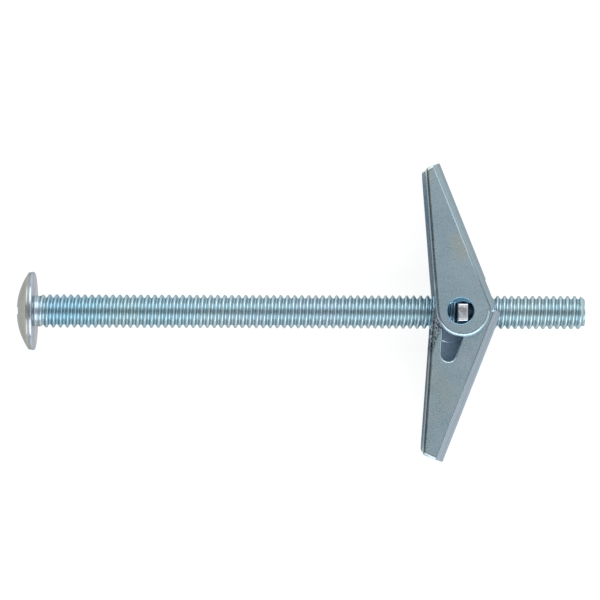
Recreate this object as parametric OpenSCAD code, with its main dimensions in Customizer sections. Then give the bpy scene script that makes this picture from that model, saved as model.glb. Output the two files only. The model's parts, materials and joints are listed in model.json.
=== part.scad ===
// Spring toggle bolt: a truss head machine screw carries a stamped trunnion nut,
// and two folded sheet wings swing on the nut's lugs, pushed open by a wire spring.
// It lies on its side. The origin is on the screw's axis at the head's bearing face,
// +X runs along the screw to its tip, +Y to the upper wing and +Z up off the surface.

/* [Bolt] */
// Length of the bolt under its head
bolt_length = 99.7; // [84:0.1:160]
// Outside diameter of the thread
thread_d = 6.08; // [5:0.01:6.4]
// Diameter of the plain neck under the head
neck_d = 5.55; // [4.5:0.05:6]
// Length of the plain neck under the head
neck_length = 2.1; // [2:0.1:4]
// Diameter of the flat end at the tip
end_d = 4.8; // [3:0.1:5]
// Length of the chamfer at the tip
end_length = 0.8; // [0.4:0.1:2]

/* [Head] */
// Diameter of the head
head_d = 14.28; // [11:0.01:18]
// Height of the head from its bearing face to its crown
head_height = 3.3; // [2.9:0.1:4]
// Radius of the domed crown
crown_r = 12.3; // [11.5:0.1:16]
// Radius that rounds the crown into the rim
crown_round = 0.35; // [0.2:0.05:0.5]
// Radius that rounds the lower edge of the rim
rim_round = 0.25; // [0.1:0.05:0.5]
// Width across the wings of the cross recess, level with the top of the crown
recess_d = 7.8; // [4:0.1:8.5]
// Width of each wing of the cross recess
recess_wing = 1.25; // [0.8:0.05:1.6]
// Depth of the cross recess
recess_depth = 2.5; // [1.2:0.1:2.8]

/* [Nut] */
// Distance from the bearing face to the middle of the nut
nut_position = 77.35; // [40:0.05:80]
// Thickness of the nut along the bolt
nut_thickness = 1.87; // [1.4:0.01:2.4]
// Width of the nut across the bolt
nut_width = 8.8; // [8.4:0.1:9.4]
// Height of each lug across the bolt
lug_height = 3.15; // [2:0.05:3.3]
// How far each lug stops short of the wing's outer face
lug_recess = 0.25; // [0.05:0.05:0.6]
// Wall of the drawn collar round the thread
collar_wall = 0.85; // [0.6:0.05:1.1]
// Length of the drawn collar beyond the nut's plate
collar_length = 2.3; // [1:0.1:2.6]
// Radial clearance between the nut's bore and the thread
thread_clearance = 0.05; // [0.02:0.01:0.09]

/* [Wings] */
// Thickness of the sheet
sheet = 0.85; // [0.7:0.05:0.95]
// Outside radius of the bends
bend_r = 1.45; // [1.2:0.05:1.6]
// Distance from the bolt's axis to the outer face of an outer flange
half_width = 7.15; // [6.9:0.05:8.5]
// Gap between an outer flange and the inner flange beside it
flange_gap = 0.1; // [0.05:0.05:0.3]
// Distance from the pivot to the outer face of the web
web_offset = 6.35; // [6.2:0.05:8]
// Distance from the pivot to the tip, along the web
wing_length = 26.05; // [20:0.05:36]
// Depth of the flanges at the tip, from the outer face of the web
tip_depth = 2.8; // [2:0.05:4]
// Distance from the pivot to the outer flange's free edge
edge_offset = 4.6; // [4.2:0.05:5.6]
// How much deeper the inner flange is than the outer one
inner_extra = 0.2; // [0:0.05:0.4]
// How much deeper the lower wing's flanges are than the upper wing's
lower_extra = 1; // [0:0.05:1.2]
// Lean of the open upper wing away from square to the bolt
upper_lean = 21.9; // [16:0.1:28]
// Lean of the open lower wing away from square to the bolt
lower_lean = 21.3; // [16:0.1:28]

/* [Wing ends] */
// Diameter of the round hole for the lug
hole_d = 4.7; // [4.6:0.05:5]
// Shift of the ear's round end from the hole, towards the web
ear_shift = 0.5; // [0:0.05:1]
// Radius of the inner flange's rounded end
tab_r = 3.15; // [2.8:0.05:3.2]
// Distance of that rounded end's centre beyond the pivot
tab_reach = 2.14; // [1.4:0.05:2.2]
// Distance from the pivot to where a deeper flange's edge turns towards its round end
knee_at = 1.3; // [0.8:0.1:3]
// Distance that the lip beside the outer flange runs past the pivot
lip_end = 1.75; // [1:0.05:1.9]
// Distance that the strip beside the inner flange runs past the pivot
strip_end = 2.85; // [2.3:0.05:2.9]
// Distance from the pivot to the end of the relief for the other wing's tab
relief_end = 3.5; // [3.5:0.1:5]
// Clearance between the web's notch and the bolt, each side
notch_clearance = 0.4; // [0.2:0.05:0.6]
// Gap between the open web's stop edge and the bolt
stop_gap = 0.08; // [0.02:0.01:0.3]
// Chamfer at the free corner of each flange's tip
tip_chamfer = 0.4; // [0.1:0.1:1]

/* [Slot] */
// Width of metal left between the slot and the free edge
slot_rim = 1.15; // [0.8:0.05:1.4]
// Radius of the slot's wide end
slot_wide_r = 2.4; // [1.9:0.05:2.5]
// Distance from the pivot to the centre of the wide end, along the web
slot_wide_at = 0.6; // [0.3:0.1:1.5]
// Radius of the slot's narrow end
slot_narrow_r = 1.36; // [0.8:0.02:1.6]
// Distance from the pivot to the centre of the narrow end, along the web
slot_narrow_at = 7.5; // [5:0.1:12]

/* [Lug play] */
// Shift of the upper wing's hole from the lug, along the bolt
upper_play_x = -0.43; // [-0.45:0.01:0.2]
// Shift of the upper wing's hole from the lug, across the bolt
upper_play_y = 0.27; // [0:0.01:0.3]
// Shift of the lower wing's hole from the lug, along the bolt
lower_play_x = 0.03; // [-0.2:0.01:0.2]
// Shift of the lower wing's hole from the lug, across the bolt
lower_play_y = -0.41; // [-0.45:0.01:-0.2]

/* [Spring] */
// Diameter of the spring wire
wire_d = 0.6; // [0.4:0.05:0.65]
// Mean radius of the coils round the lugs
coil_r = 3; // [2.7:0.1:3.2]
// Shift of the coils from the lugs, towards the head
coil_shift = 0.5; // [0:0.1:0.7]
// Distance from the pivot to where the legs press on a web
leg_reach = 11.5; // [8:0.5:16]
// Gap between the spring's legs and the webs
leg_gap = 0.15; // [0.05:0.05:0.3]
// Clearance of the coils from the nut and the inner flanges
coil_clearance = 0.07; // [0.02:0.01:0.12]
// Radius of the bends at the spring's bridge
bridge_r = 1; // [0.6:0.1:1.4]

/* [Hidden] */
$fn = 96;
far = 60;                       // longer than any wing, for cuts that run right through
overlap = 0.5;                  // how far joined solids run into each other
blend_in = 0.01;                // how far a straight edge runs inside the round it meets

thread_r = thread_d / 2;
bore_r = thread_r + thread_clearance;
collar_r = bore_r + collar_wall;
head_r = head_d / 2;

outer_in = half_width - sheet;          // inner face of an outer flange
inner_out = outer_in - flange_gap;      // outer face of an inner flange
inner_in = inner_out - sheet;           // inner face of an inner flange
web_in = web_offset - sheet;            // inner face of the web
lug_reach = half_width - lug_recess;    // end of each lug
notch_half = thread_r + notch_clearance;

// The free edge leans over from the pivot to the shallow tip.
edge_slope = (web_offset - tip_depth + edge_offset) / wing_length;
edge_lean = atan(edge_slope);
ear_r = (edge_offset + ear_shift) * cos(edge_lean);
inner_offset = edge_offset + inner_extra;

function edge_at(along, offset) = edge_slope * along - offset;

// Centre of a round of radius r that keeps a rim of metal to the inner flange's free edge
function rimmed_centre(along, r, rim) = [
    edge_at(along, inner_offset) + (r + rim) / cos(edge_lean), along];
tab_centre = rimmed_centre(-tab_reach, tab_r, 0);
slot_wide = rimmed_centre(slot_wide_at, slot_wide_r, slot_rim);
slot_narrow = rimmed_centre(slot_narrow_at, slot_narrow_r, slot_rim);

// The web's edge over the bolt stops each wing when it is open.
function stop_at(play, lean) =
    (thread_r + stop_gap - play - web_in * sin(lean)) / cos(lean);
stop_end = max(stop_at(upper_play_y, upper_lean), stop_at(-lower_play_y, lower_lean));

// The coils fill the space between the nut's shoulder and the inner flange.
coil_high = inner_in - coil_clearance - wire_d / 2;
coil_low = coil_high - wire_d - 0.04;
nut_half = coil_low - wire_d / 2 - coil_clearance;
leg_depth = web_in - leg_gap - wire_d / 2;

// ---- Bolt ----

module along_bolt(from) {
    translate([from, 0, 0]) rotate([0, 90, 0]) children();
}

module head_profile() {
    crown_y = crown_r - head_height;
    bend = [head_r - crown_round,
            crown_y - sqrt(pow(crown_r - crown_round, 2) - pow(head_r - crown_round, 2))];
    touch = bend[0] * crown_r / (crown_r - crown_round);
    intersection() {
        translate([0, crown_y]) circle(crown_r, $fn = 180);
        translate([0, -head_height]) square([touch, head_height]);
    }
    translate(bend) circle(crown_round, $fn = 48);
    translate([0, bend[1]]) square([head_r, -rim_round - bend[1]]);
    translate([0, bend[1]]) square([head_r - rim_round, -bend[1]]);
    translate([head_r - rim_round, -rim_round]) circle(rim_round, $fn = 32);
}

module cross_recess() {
    along_bolt(-head_height - overlap) intersection() {
        cylinder(r1 = recess_d / 2 + overlap * 0.3, r2 = recess_wing * 0.6,
                 h = recess_depth + overlap);
        union() {
            for (turn = [0, 90])
                rotate(turn) translate([0, 0, far / 2]) cube([far, recess_wing, far], center = true);
            cylinder(r1 = recess_wing * 1.8, r2 = recess_wing * 0.6, h = recess_depth + overlap);
        }
    }
}

module bolt() {
    color([0.66, 0.68, 0.66]) difference() {
        union() {
            along_bolt(0) rotate_extrude($fn = 180) head_profile();
            along_bolt(-rim_round) cylinder(d = neck_d, h = neck_length + rim_round + overlap);
            along_bolt(neck_length)
                cylinder(r = thread_r, h = bolt_length - neck_length - end_length);
            along_bolt(bolt_length - end_length)
                cylinder(r1 = thread_r, r2 = end_d / 2, h = end_length);
        }
        cross_recess();
    }
}

// ---- Nut ----

module nut_outline() {
    corner = 1.2;
    half = [nut_width / 2 - corner, nut_half - corner];
    square([2 * half[0], 2 * nut_half], center = true);
    square([nut_width, 2 * half[1]], center = true);
    for (y = [-half[0], half[0]], z = [-half[1], half[1]])
        translate([y, z]) circle(corner, $fn = 48);
    square([lug_height, 2 * lug_reach], center = true);
}

module trunnion_nut() {
    color([0.62, 0.65, 0.68]) translate([nut_position, 0, 0]) difference() {
        union() {
            rotate([90, 0, 90]) linear_extrude(nut_thickness, center = true) nut_outline();
            along_bolt(0) cylinder(r = collar_r, h = nut_thickness / 2 + collar_length);
        }
        along_bolt(-nut_thickness) cylinder(r = bore_r, h = 2 * nut_thickness + collar_length);
    }
}

// ---- Wings ----
// A wing is drawn with its pivot at the origin, its web across X, its tip towards +Y
// and its outer flange at +Z.

module channel_end(low, high, reach, r) {
    translate([reach - r - far, low]) square([far, high - low]);
    translate([reach - far, low + r]) square([far, high - low - 2 * r]);
    for (z = [low + r, high - r])
        translate([reach - r, z]) circle(r, $fn = 64);
}

module channel() {
    translate([0, wing_length, 0]) rotate([90, 0, 0]) linear_extrude(wing_length + far / 4)
        difference() {
            channel_end(-inner_out, half_width, web_offset, bend_r);
            channel_end(-inner_in, outer_in, web_in, bend_r - sheet);
        }
}

module flange_outline(offset, extra, round_centre, round_r, heel, heel_chamfer) {
    tip_edge = edge_at(wing_length, offset + extra);
    knee_along = max(knee_at, round_centre[1] + round_r * sin(edge_lean));
    knee = [edge_at(knee_along, offset + extra), knee_along];
    inner_r = round_r - blend_in;
    gap = knee - round_centre;
    turn = atan2(gap[1], gap[0]) + acos(inner_r / norm(gap));
    drop = heel + round_centre[1];
    heel_start = round_centre[0] + sqrt(round_r * round_r - drop * drop);
    polygon([
        knee,
        [tip_edge - tip_chamfer * edge_slope, wing_length - tip_chamfer],
        [tip_edge + tip_chamfer * 0.6, wing_length],
        [web_offset + overlap, wing_length],
        [web_offset + overlap, -heel + 3 * heel_chamfer],
        [web_offset, -heel + 2.4 * heel_chamfer],
        [web_offset - heel_chamfer, -heel],
        [heel_start, -heel],
        round_centre,
        round_centre + inner_r * [cos(turn), sin(turn)]]);
    translate(round_centre) circle(round_r);
}

module teardrop() {
    gap = slot_narrow - slot_wide;
    turn = atan2(gap[1], gap[0]);
    swing = acos((slot_wide_r - slot_narrow_r) / norm(gap));
    translate(slot_wide) circle(slot_wide_r);
    translate(slot_narrow) circle(slot_narrow_r, $fn = 64);
    polygon([for (end = [[slot_wide, slot_wide_r, 1], [slot_narrow, slot_narrow_r, 1],
                         [slot_narrow, slot_narrow_r, -1], [slot_wide, slot_wide_r, -1]])
        end[0] + (end[1] - blend_in)
            * [cos(turn + end[2] * swing), sin(turn + end[2] * swing)]]);
}

module wing_shape(extra = 0) {
    difference() {
        intersection() {
            channel();
            union() {
                translate([0, 0, notch_half]) linear_extrude(far)
                    flange_outline(edge_offset, extra, [ear_shift, 0], ear_r, lip_end, 0.45);
                translate([0, 0, notch_half - far]) linear_extrude(far)
                    flange_outline(inner_offset, extra, tab_centre, tab_r, strip_end, 0.1);
            }
        }
        // notch over the bolt, which is also the stop
        translate([0, stop_end - far, -notch_half]) cube([far, far, 2 * notch_half]);
        // relief that lets the other wing's rounded tab swing through
        translate([0, relief_end - far, notch_half - 0.01])
            cube([far, far, outer_in - notch_half + 0.01]);
        cylinder(d = hole_d, h = far);
        translate([0, 0, -far]) linear_extrude(far - notch_half) {
            circle(d = hole_d);
            teardrop();
        }
    }
}

module upper_wing() {
    color([0.55, 0.62, 0.66]) translate([nut_position + upper_play_x, upper_play_y, 0])
        rotate([0, 0, upper_lean]) wing_shape();
}

module lower_wing() {
    color([0.52, 0.59, 0.65]) translate([nut_position + lower_play_x, lower_play_y, 0])
        rotate([180, 0, 0]) rotate([0, 0, lower_lean]) wing_shape(lower_extra);
}

// ---- Spring ----
// Wire runs up a lower leg, once round the lug, up the upper leg and over a bridge,
// and comes down the other side as its mirror image.

function leg_tip(play_x, play_y, lean) = [
    play_x + leg_depth * cos(lean) - leg_reach * sin(lean),
    play_y + leg_depth * sin(lean) + leg_reach * cos(lean)];
coil_centre = [-coil_shift, 0];
upper_tip = leg_tip(upper_play_x, upper_play_y, upper_lean);
lower_tip = leg_tip(lower_play_x, -lower_play_y, lower_lean);

// Angle at which a straight leg leaves the coil for its tip
function leave_angle(tip) = let (v = tip - coil_centre)
    atan2(v[1], v[0]) - acos(coil_r / norm(v));
upper_angle = leave_angle(upper_tip);
lower_angle = -leave_angle(lower_tip);

function on_coil(angle) = coil_centre + coil_r * [cos(angle), sin(angle)];
upper_run = (upper_tip - on_coil(upper_angle)) / norm(upper_tip - on_coil(upper_angle));

coil_turn = 360 + upper_angle - lower_angle;
coil_steps = 26;
bridge_steps = 4;

spring_path = concat(
    [[lower_tip[0], -lower_tip[1], coil_high]],
    [for (i = [0:coil_steps]) let (p = on_coil(lower_angle + coil_turn * i / coil_steps))
        [p[0], p[1], coil_high + (coil_low - coil_high) * i / coil_steps]],
    [for (i = [0:bridge_steps]) let (a = 90 * i / bridge_steps,
            p = upper_tip - bridge_r * (1 - sin(a)) * upper_run)
        [p[0], p[1], coil_low - bridge_r * (1 - cos(a))]],
    [[upper_tip[0], upper_tip[1], 0]]);
path_last = len(spring_path) - 1;

function unit(v) = v / norm(v);
function path_run(i) =
    unit(spring_path[min(i + 1, path_last)] - spring_path[max(i - 1, 0)]);
// Sideways direction of a ring: level, and square to the wire
function ring_side(i) = let (run = path_run(i))
    norm([run[0], run[1]]) > 0.05 ? unit([-run[1], run[0], 0])
                                  : unit([-upper_run[1], upper_run[0], 0]);
ring_sides = 8;
function ring(i) = let (side = ring_side(i), up = cross(path_run(i), side))
    [for (k = [0:ring_sides - 1]) spring_path[i]
        + wire_d / 2 * (cos(360 * k / ring_sides) * side + sin(360 * k / ring_sides) * up)];
near_rings = [for (i = [0:path_last]) ring(i)];
far_rings = [for (i = [path_last - 1:-1:0]) [for (p = near_rings[i]) [p[0], p[1], -p[2]]]];
spring_rings = concat(near_rings, far_rings);

module torsion_spring() {
    last = len(spring_rings) - 1;
    skin = [for (i = [0:last - 1], k = [0:ring_sides - 1]) let (n = (k + 1) % ring_sides)
        [i * ring_sides + k, i * ring_sides + n,
         (i + 1) * ring_sides + n, (i + 1) * ring_sides + k]];
    caps = [[for (k = [ring_sides - 1:-1:0]) k],
            [for (k = [0:ring_sides - 1]) last * ring_sides + k]];
    color([0.42, 0.44, 0.46]) translate([nut_position, 0, 0])
        polyhedron([for (r = spring_rings) each r], concat(skin, caps));
}

bolt();
trunnion_nut();
torsion_spring();
upper_wing();
lower_wing();
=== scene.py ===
"""Zinc-plated spring toggle bolt: threaded truss head screw, stamped trunnion nut,
two folded sheet wings and the wire spring that holds them open."""

import json
import math
from typing import NamedTuple

import bmesh
import bpy
from mathutils import Matrix, Vector
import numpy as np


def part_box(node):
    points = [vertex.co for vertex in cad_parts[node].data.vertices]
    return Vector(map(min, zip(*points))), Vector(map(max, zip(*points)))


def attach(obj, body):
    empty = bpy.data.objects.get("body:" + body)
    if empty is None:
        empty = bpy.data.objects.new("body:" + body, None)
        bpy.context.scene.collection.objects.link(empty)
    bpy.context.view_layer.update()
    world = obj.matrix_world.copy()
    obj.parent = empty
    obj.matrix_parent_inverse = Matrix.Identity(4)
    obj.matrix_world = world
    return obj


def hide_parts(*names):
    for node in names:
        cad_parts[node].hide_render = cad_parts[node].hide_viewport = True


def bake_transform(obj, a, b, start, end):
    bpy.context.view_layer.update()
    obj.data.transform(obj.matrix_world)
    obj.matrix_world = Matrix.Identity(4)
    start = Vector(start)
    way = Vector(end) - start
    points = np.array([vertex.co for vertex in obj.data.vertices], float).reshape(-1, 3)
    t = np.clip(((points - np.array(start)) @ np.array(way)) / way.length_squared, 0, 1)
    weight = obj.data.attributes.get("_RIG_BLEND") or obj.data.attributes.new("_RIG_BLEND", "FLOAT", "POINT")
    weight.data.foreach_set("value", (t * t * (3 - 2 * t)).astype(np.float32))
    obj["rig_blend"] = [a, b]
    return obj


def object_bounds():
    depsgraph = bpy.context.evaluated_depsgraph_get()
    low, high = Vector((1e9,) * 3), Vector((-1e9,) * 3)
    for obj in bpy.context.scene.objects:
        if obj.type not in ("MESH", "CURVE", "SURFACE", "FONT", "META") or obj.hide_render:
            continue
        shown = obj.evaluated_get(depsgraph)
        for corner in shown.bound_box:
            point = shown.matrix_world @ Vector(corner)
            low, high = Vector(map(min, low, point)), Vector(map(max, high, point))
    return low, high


bl_info = {
    "name": "Spring Toggle Bolt",
    "version": (1, 0, 0),
    "blender": (4, 5, 0),
    "location": "3D View > Sidebar > Toggle Bolt",
    "description": "Builds a spring toggle bolt with its thread, pressed wings and plating",
    "category": "Add Mesh",
}

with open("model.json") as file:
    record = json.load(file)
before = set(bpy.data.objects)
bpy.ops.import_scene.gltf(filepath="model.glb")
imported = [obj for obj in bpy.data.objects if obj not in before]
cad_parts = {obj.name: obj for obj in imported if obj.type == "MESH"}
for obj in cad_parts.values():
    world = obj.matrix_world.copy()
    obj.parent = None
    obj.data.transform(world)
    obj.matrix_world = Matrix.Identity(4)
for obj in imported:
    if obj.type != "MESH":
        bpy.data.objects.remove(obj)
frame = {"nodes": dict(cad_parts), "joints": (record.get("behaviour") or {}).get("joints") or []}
cad_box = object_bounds()
PIVOTS = {j["child"]: Vector(j["pos_m"]) for j in frame["joints"] if j["type"] == "hinge"}
NUT_LOW = Vector(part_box("trunnion_nut")[0])
SCREW_HIGH = Vector(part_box("bolt")[1])
SPRING_HIGH = Vector(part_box("torsion_spring")[1])

MM = 0.001
NECK_START = 0.3 * MM  # where the neck leaves the fillet under the head
NUT_HALF = 0.935 * MM  # half the nut's thickness
WEB_START = 3.5 * MM  # where the web starts, along the wing
HOLE_REACH = 2.6 * MM  # a little more than the pivot hole's radius
EAR_REACH = 5.8 * MM  # a little more than the ear's radius
EDGE_SLOPE = 0.313  # rise of a wing's free edge towards its web, along the wing
LEG_REACH, LEG_INSET = 11.5 * MM, 5.05 * MM  # a spring leg's end, from the wing's pivot


class Wing(NamedTuple):
    """Place and finish of one open wing; lengths are in millimetres from its pivot"""

    side: int  # 1 over the screw, -1 under it
    lean: float  # degrees towards the head
    tone: float  # share of the wings' colour
    ear_shade: float  # strength of the speckled painted shade beside the ear
    bend_at: float  # where the bend starts
    edge_at: float  # where the free edge lies, level with the pivot
    straw: float  # strength of the straw film
    bend_tint: tuple
    bend_shade: float  # painted shade on the bend's first turn, dimming its lamp highlight
    lilac_tint: tuple  # film on the bend's outer part


WINGS = {
    "upper_wing": Wing(
        side=1, lean=21.9, tone=1.0, ear_shade=0.1, bend_at=5.18, edge_at=-4.6, straw=0.55,
        bend_tint=(0.27, 0.34, 0.365), bend_shade=0.36, lilac_tint=(0.36, 0.345, 0.41)),
    "lower_wing": Wing(
        side=-1, lean=21.3, tone=0.94, ear_shade=0.9, bend_at=4.98, edge_at=-5.6, straw=0.25,
        bend_tint=(0.31, 0.355, 0.40), bend_shade=0.0, lilac_tint=(0.31, 0.285, 0.35)),
}


# ---- settings


def size_field(name, description, default, low):
    """A length that the user may change"""
    return bpy.props.FloatProperty(name=name, description=description, default=default,
                                   min=low, unit="LENGTH")


def colour_field(name, description, default):
    """A colour that the user may change"""
    return bpy.props.FloatVectorProperty(name=name, description=description, default=default,
                                         subtype="COLOR", size=3, min=0.0, max=1.0)


class ScrewSettings(bpy.types.PropertyGroup):
    """Sizes of the truss head machine screw"""

    length: size_field("Length", "Length of the screw under its head", SCREW_HIGH.x, 0.02)
    thread_radius: size_field(
        "Crest radius", "Radius over the crests of the thread", 3.04 * MM, 0.001)
    root_radius: size_field(
        "Root radius", "Radius at the roots of the thread", 2.42 * MM, 0.001)
    pitch: size_field("Pitch", "Distance between neighbouring crests", 1.27 * MM, 0.0003)
    neck_radius: size_field(
        "Neck radius", "Radius of the plain neck under the head", 2.775 * MM, 0.001)
    neck_length: size_field(
        "Neck length", "Length of the plain neck before the thread starts", 1.75 * MM, 0.0)
    head_radius: size_field("Head radius", "Radius of the head's rim", SCREW_HIGH.y, 0.003)
    head_height: size_field(
        "Head height", "Height of the crown over the bearing face", 3.3 * MM, 0.001)
    crown_radius: size_field(
        "Crown radius", "Radius of the domed crown", 12.3 * MM, 0.005)
    recess_width: size_field(
        "Recess width", "Width across the cross recess, level with the crown",
        7.8 * MM, 0.001)
    recess_depth: size_field("Recess depth", "Depth of the cross recess", 2.5 * MM, 0.0005)


class PressedSettings(bpy.types.PropertyGroup):
    """Edge rounding of the wings and the nut"""

    rolled_edge: size_field(
        "Rolled edge", "Radius of the wings' rolled free edges and ears", 0.62 * MM, 0.00005)
    hole_edge: size_field(
        "Hole edge", "Radius that the punch leaves round the pivot holes", 0.15 * MM, 0.00005)
    slot_edge: size_field(
        "Slot edge", "Radius that the punch leaves round the slots", 0.3 * MM, 0.00005)
    cut_edge: size_field(
        "Cut edge", "Radius of the other sheared edges of the sheet", 0.17 * MM, 0.00002)
    nut_edge: size_field(
        "Nut edge", "Radius of the stamped nut's edges", 0.22 * MM, 0.00002)


class SpringSettings(bpy.types.PropertyGroup):
    """Sizes of the torsion spring's wire"""

    wire: size_field("Wire", "Diameter of the spring wire", 0.6 * MM, 0.0002)
    coil_radius: size_field(
        "Coil radius", "Mean radius of the coils round the lugs", 3.0 * MM, 0.001)
    coil_shift: size_field(
        "Coil shift", "Distance of the coils from the lugs, towards the head", 0.5 * MM, 0.0)


class PlatingSettings(bpy.types.PropertyGroup):
    """Colours of the plated steel"""

    wing_colour: colour_field("Wings", "Blue-grey of the plated wings", (0.395, 0.55, 0.63))
    thread_colour: colour_field(
        "Thread", "Pale blue of the plated thread", (0.405, 0.54, 0.59))
    head_colour: colour_field(
        "Head", "Warmer grey of the screw's head", (0.40, 0.42, 0.383))
    nut_colour: colour_field("Nut", "Grey of the stamped nut", (0.55, 0.62, 0.66))
    wire_colour: colour_field(
        "Spring", "Darker grey of the oiled spring wire", (0.30, 0.31, 0.33))


class StageSettings(bpy.types.PropertyGroup):
    """Floor, lamps and camera"""

    camera_height: size_field(
        "Camera height", "Height of the camera over the screw's axis", 0.546, 0.05)
    view_width: size_field(
        "View width", "Width that the camera sees at the screw's axis", 0.10896, 0.01)
    lamp_power: bpy.props.FloatProperty(
        name="Lamp power", description="Power of each of the two side lamps",
        default=2.55, min=0.0, unit="POWER")


# ---- node helpers


def feed(tree, socket, value):
    """Sets a socket to a number or a colour, or links another socket to it"""
    if isinstance(value, (int, float)):
        socket.default_value = value
    elif isinstance(value, tuple):
        socket.default_value = (*value, 1.0)
    else:
        tree.links.new(value, socket)


def fill(tree, node, **values):
    """Feeds a node's inputs by name"""
    for label, value in values.items():
        feed(tree, node.inputs[label.replace("_", " ")], value)


def math_node(tree, operation, first, second):
    """One math step; each operand is a number or a socket"""
    node = tree.nodes.new("ShaderNodeMath")
    node.operation = operation
    feed(tree, node.inputs[0], first)
    feed(tree, node.inputs[1], second)
    return node.outputs["Value"]


def absolute(tree, value):
    return math_node(tree, "ABSOLUTE", value, 0.0)


def chain(tree, operation, first, *others):
    """The same math step over several operands"""
    for other in others:
        first = math_node(tree, operation, first, other)
    return first


def times(tree, *factors):
    return chain(tree, "MULTIPLY", *factors)


def plus(tree, *terms):
    return chain(tree, "ADD", *terms)


def highest(tree, *values):
    return chain(tree, "MAXIMUM", *values)


def remap(tree, value, low, high, to_low=0.0, to_high=1.0):
    """Clamped change of range"""
    node = tree.nodes.new("ShaderNodeMapRange")
    fill(tree, node, Value=value, From_Min=low, From_Max=high, To_Min=to_low,
         To_Max=to_high)
    return node.outputs["Result"]


def band(tree, value, low, high, soft):
    """1 between two values, with soft shoulders outside them"""
    return times(tree, remap(tree, value, low - soft, low),
                 remap(tree, value, high, high + soft, 1.0, 0.0))


def noise(tree, vector, scale, detail=2.0, roughness=0.5):
    """A noise mask on the given coordinates; scale is a number or a socket"""
    node = tree.nodes.new("ShaderNodeTexNoise")
    fill(tree, node, Vector=vector, Scale=scale, Detail=detail, Roughness=roughness)
    return node.outputs["Fac"]


def mix_colour(tree, factor, first, second):
    """Mix of two colours; each is a tuple or a socket"""
    node = tree.nodes.new("ShaderNodeMix")
    node.data_type = "RGBA"
    for slot, value in ((0, factor), (6, first), (7, second)):  # the colour sockets
        feed(tree, node.inputs[slot], value)
    return node.outputs[2]


def axes(tree, vector):
    """X, Y and Z of a vector"""
    node = tree.nodes.new("ShaderNodeSeparateXYZ")
    tree.links.new(vector, node.inputs[0])
    return node.outputs


def length_of(tree, vector, origin=(0.0, 0.0, 0.0)):
    """Distance of a point from an origin"""
    node = tree.nodes.new("ShaderNodeVectorMath")
    node.operation = "DISTANCE"
    tree.links.new(vector, node.inputs[0])
    node.inputs[1].default_value = origin
    return node.outputs["Value"]


def attribute(tree, name):
    """Factor of a mesh attribute"""
    node = tree.nodes.new("ShaderNodeAttribute")
    node.attribute_name = name
    return node.outputs["Fac"]


def dark_of(colour, share):
    return tuple(share * c for c in colour)


def light_of(colour, share):
    return tuple(c + (1.0 - c) * share for c in colour)


# ---- shared material groups


STRAW, VIOLET = (0.64, 0.57, 0.40), (0.50, 0.42, 0.62)


def new_group(name, inputs, outputs):
    """A shader node group with plain float, colour or vector sockets"""
    kinds = {"f": "NodeSocketFloat", "c": "NodeSocketColor", "v": "NodeSocketVector"}
    group = bpy.data.node_groups.new(name, "ShaderNodeTree")
    for label, kind, value in inputs:
        socket = group.interface.new_socket(label, in_out="INPUT", socket_type=kinds[kind])
        if value is not None:
            socket.default_value = value
    for label, kind in outputs:
        group.interface.new_socket(label, in_out="OUTPUT", socket_type=kinds[kind])
    return (group, group.nodes.new("NodeGroupInput").outputs,
            group.nodes.new("NodeGroupOutput"))


def plating_grain_group():
    """Fine crystal grain and slow clouding of zinc plating"""
    group, given, out = new_group(
        "plating grain",
        [("Position", "v", None), ("Grain Scale", "f", 3200.0), ("Cloud Scale", "f", 160.0)],
        [("Grain", "f"), ("Cloud", "f"), ("Height", "f")])
    place, scale = given["Position"], given["Grain Scale"]
    pits = group.nodes.new("ShaderNodeTexVoronoi")
    fill(group, pits, Vector=place, Scale=scale)
    grain = remap(group, noise(group, place, scale, 3.0, 0.65), 0.32, 0.68)
    cloud = remap(group, noise(group, place, given["Cloud Scale"], 3.0, 0.55), 0.34, 0.66)
    height = plus(group, times(group, grain, 0.7),
                  times(group, pits.outputs["Distance"], 0.45))
    fill(group, out, Grain=grain, Cloud=cloud, Height=height)
    return group


def film_tint_group():
    """Faint straw and violet tints of the clear passivation film"""
    group, given, out = new_group(
        "film tint",
        [("Position", "v", None), ("Colour", "c", (0.5, 0.5, 0.5, 1.0)),
         ("Straw", "f", 0.1), ("Violet", "f", 0.1)],
        [("Colour", "c")])
    place = given["Position"]
    straw = remap(group, noise(group, place, 95.0), 0.52, 0.72)
    violet = remap(group, noise(group, place, 130.0), 0.30, 0.46, 1.0, 0.0)
    warm = mix_colour(group, times(group, straw, given["Straw"]), given["Colour"], STRAW)
    fill(group, out, Colour=mix_colour(group, times(group, violet, given["Violet"]), warm,
                                       VIOLET))
    return group


def worn_edge_group():
    """Broken-up mask of rubbed edges, from the edge attribute of a pressed piece"""
    group, given, out = new_group(
        "worn edge",
        [("Position", "v", None), ("Edge", "f", 0.0), ("Break Up", "f", 900.0)],
        [("Mask", "f")])
    patches = noise(group, given["Position"], given["Break Up"], 3.0, 0.6)
    broken = remap(group, patches, 0.35, 0.6, 0.25, 1.0)
    fill(group, out, Mask=times(group, given["Edge"], broken))
    return group


def place_group(tree, name, build, **values):
    """Puts a shared group in a material, built the first time, and fills its inputs"""
    node = tree.nodes.new("ShaderNodeGroup")
    node.node_tree = bpy.data.node_groups.get(name) or build()
    fill(tree, node, **values)
    return node.outputs


def film_tint(tree, place, colour, straw, violet):
    """The colour with the film's tints over it"""
    return place_group(tree, "film tint", film_tint_group, Position=place, Colour=colour,
                       Straw=straw, Violet=violet)["Colour"]


def worn_edge(tree, place, break_up):
    """Mask of the rubbed edges"""
    return place_group(tree, "worn edge", worn_edge_group, Position=place,
                       Edge=attribute(tree, "edge"), Break_Up=break_up)["Mask"]


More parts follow.
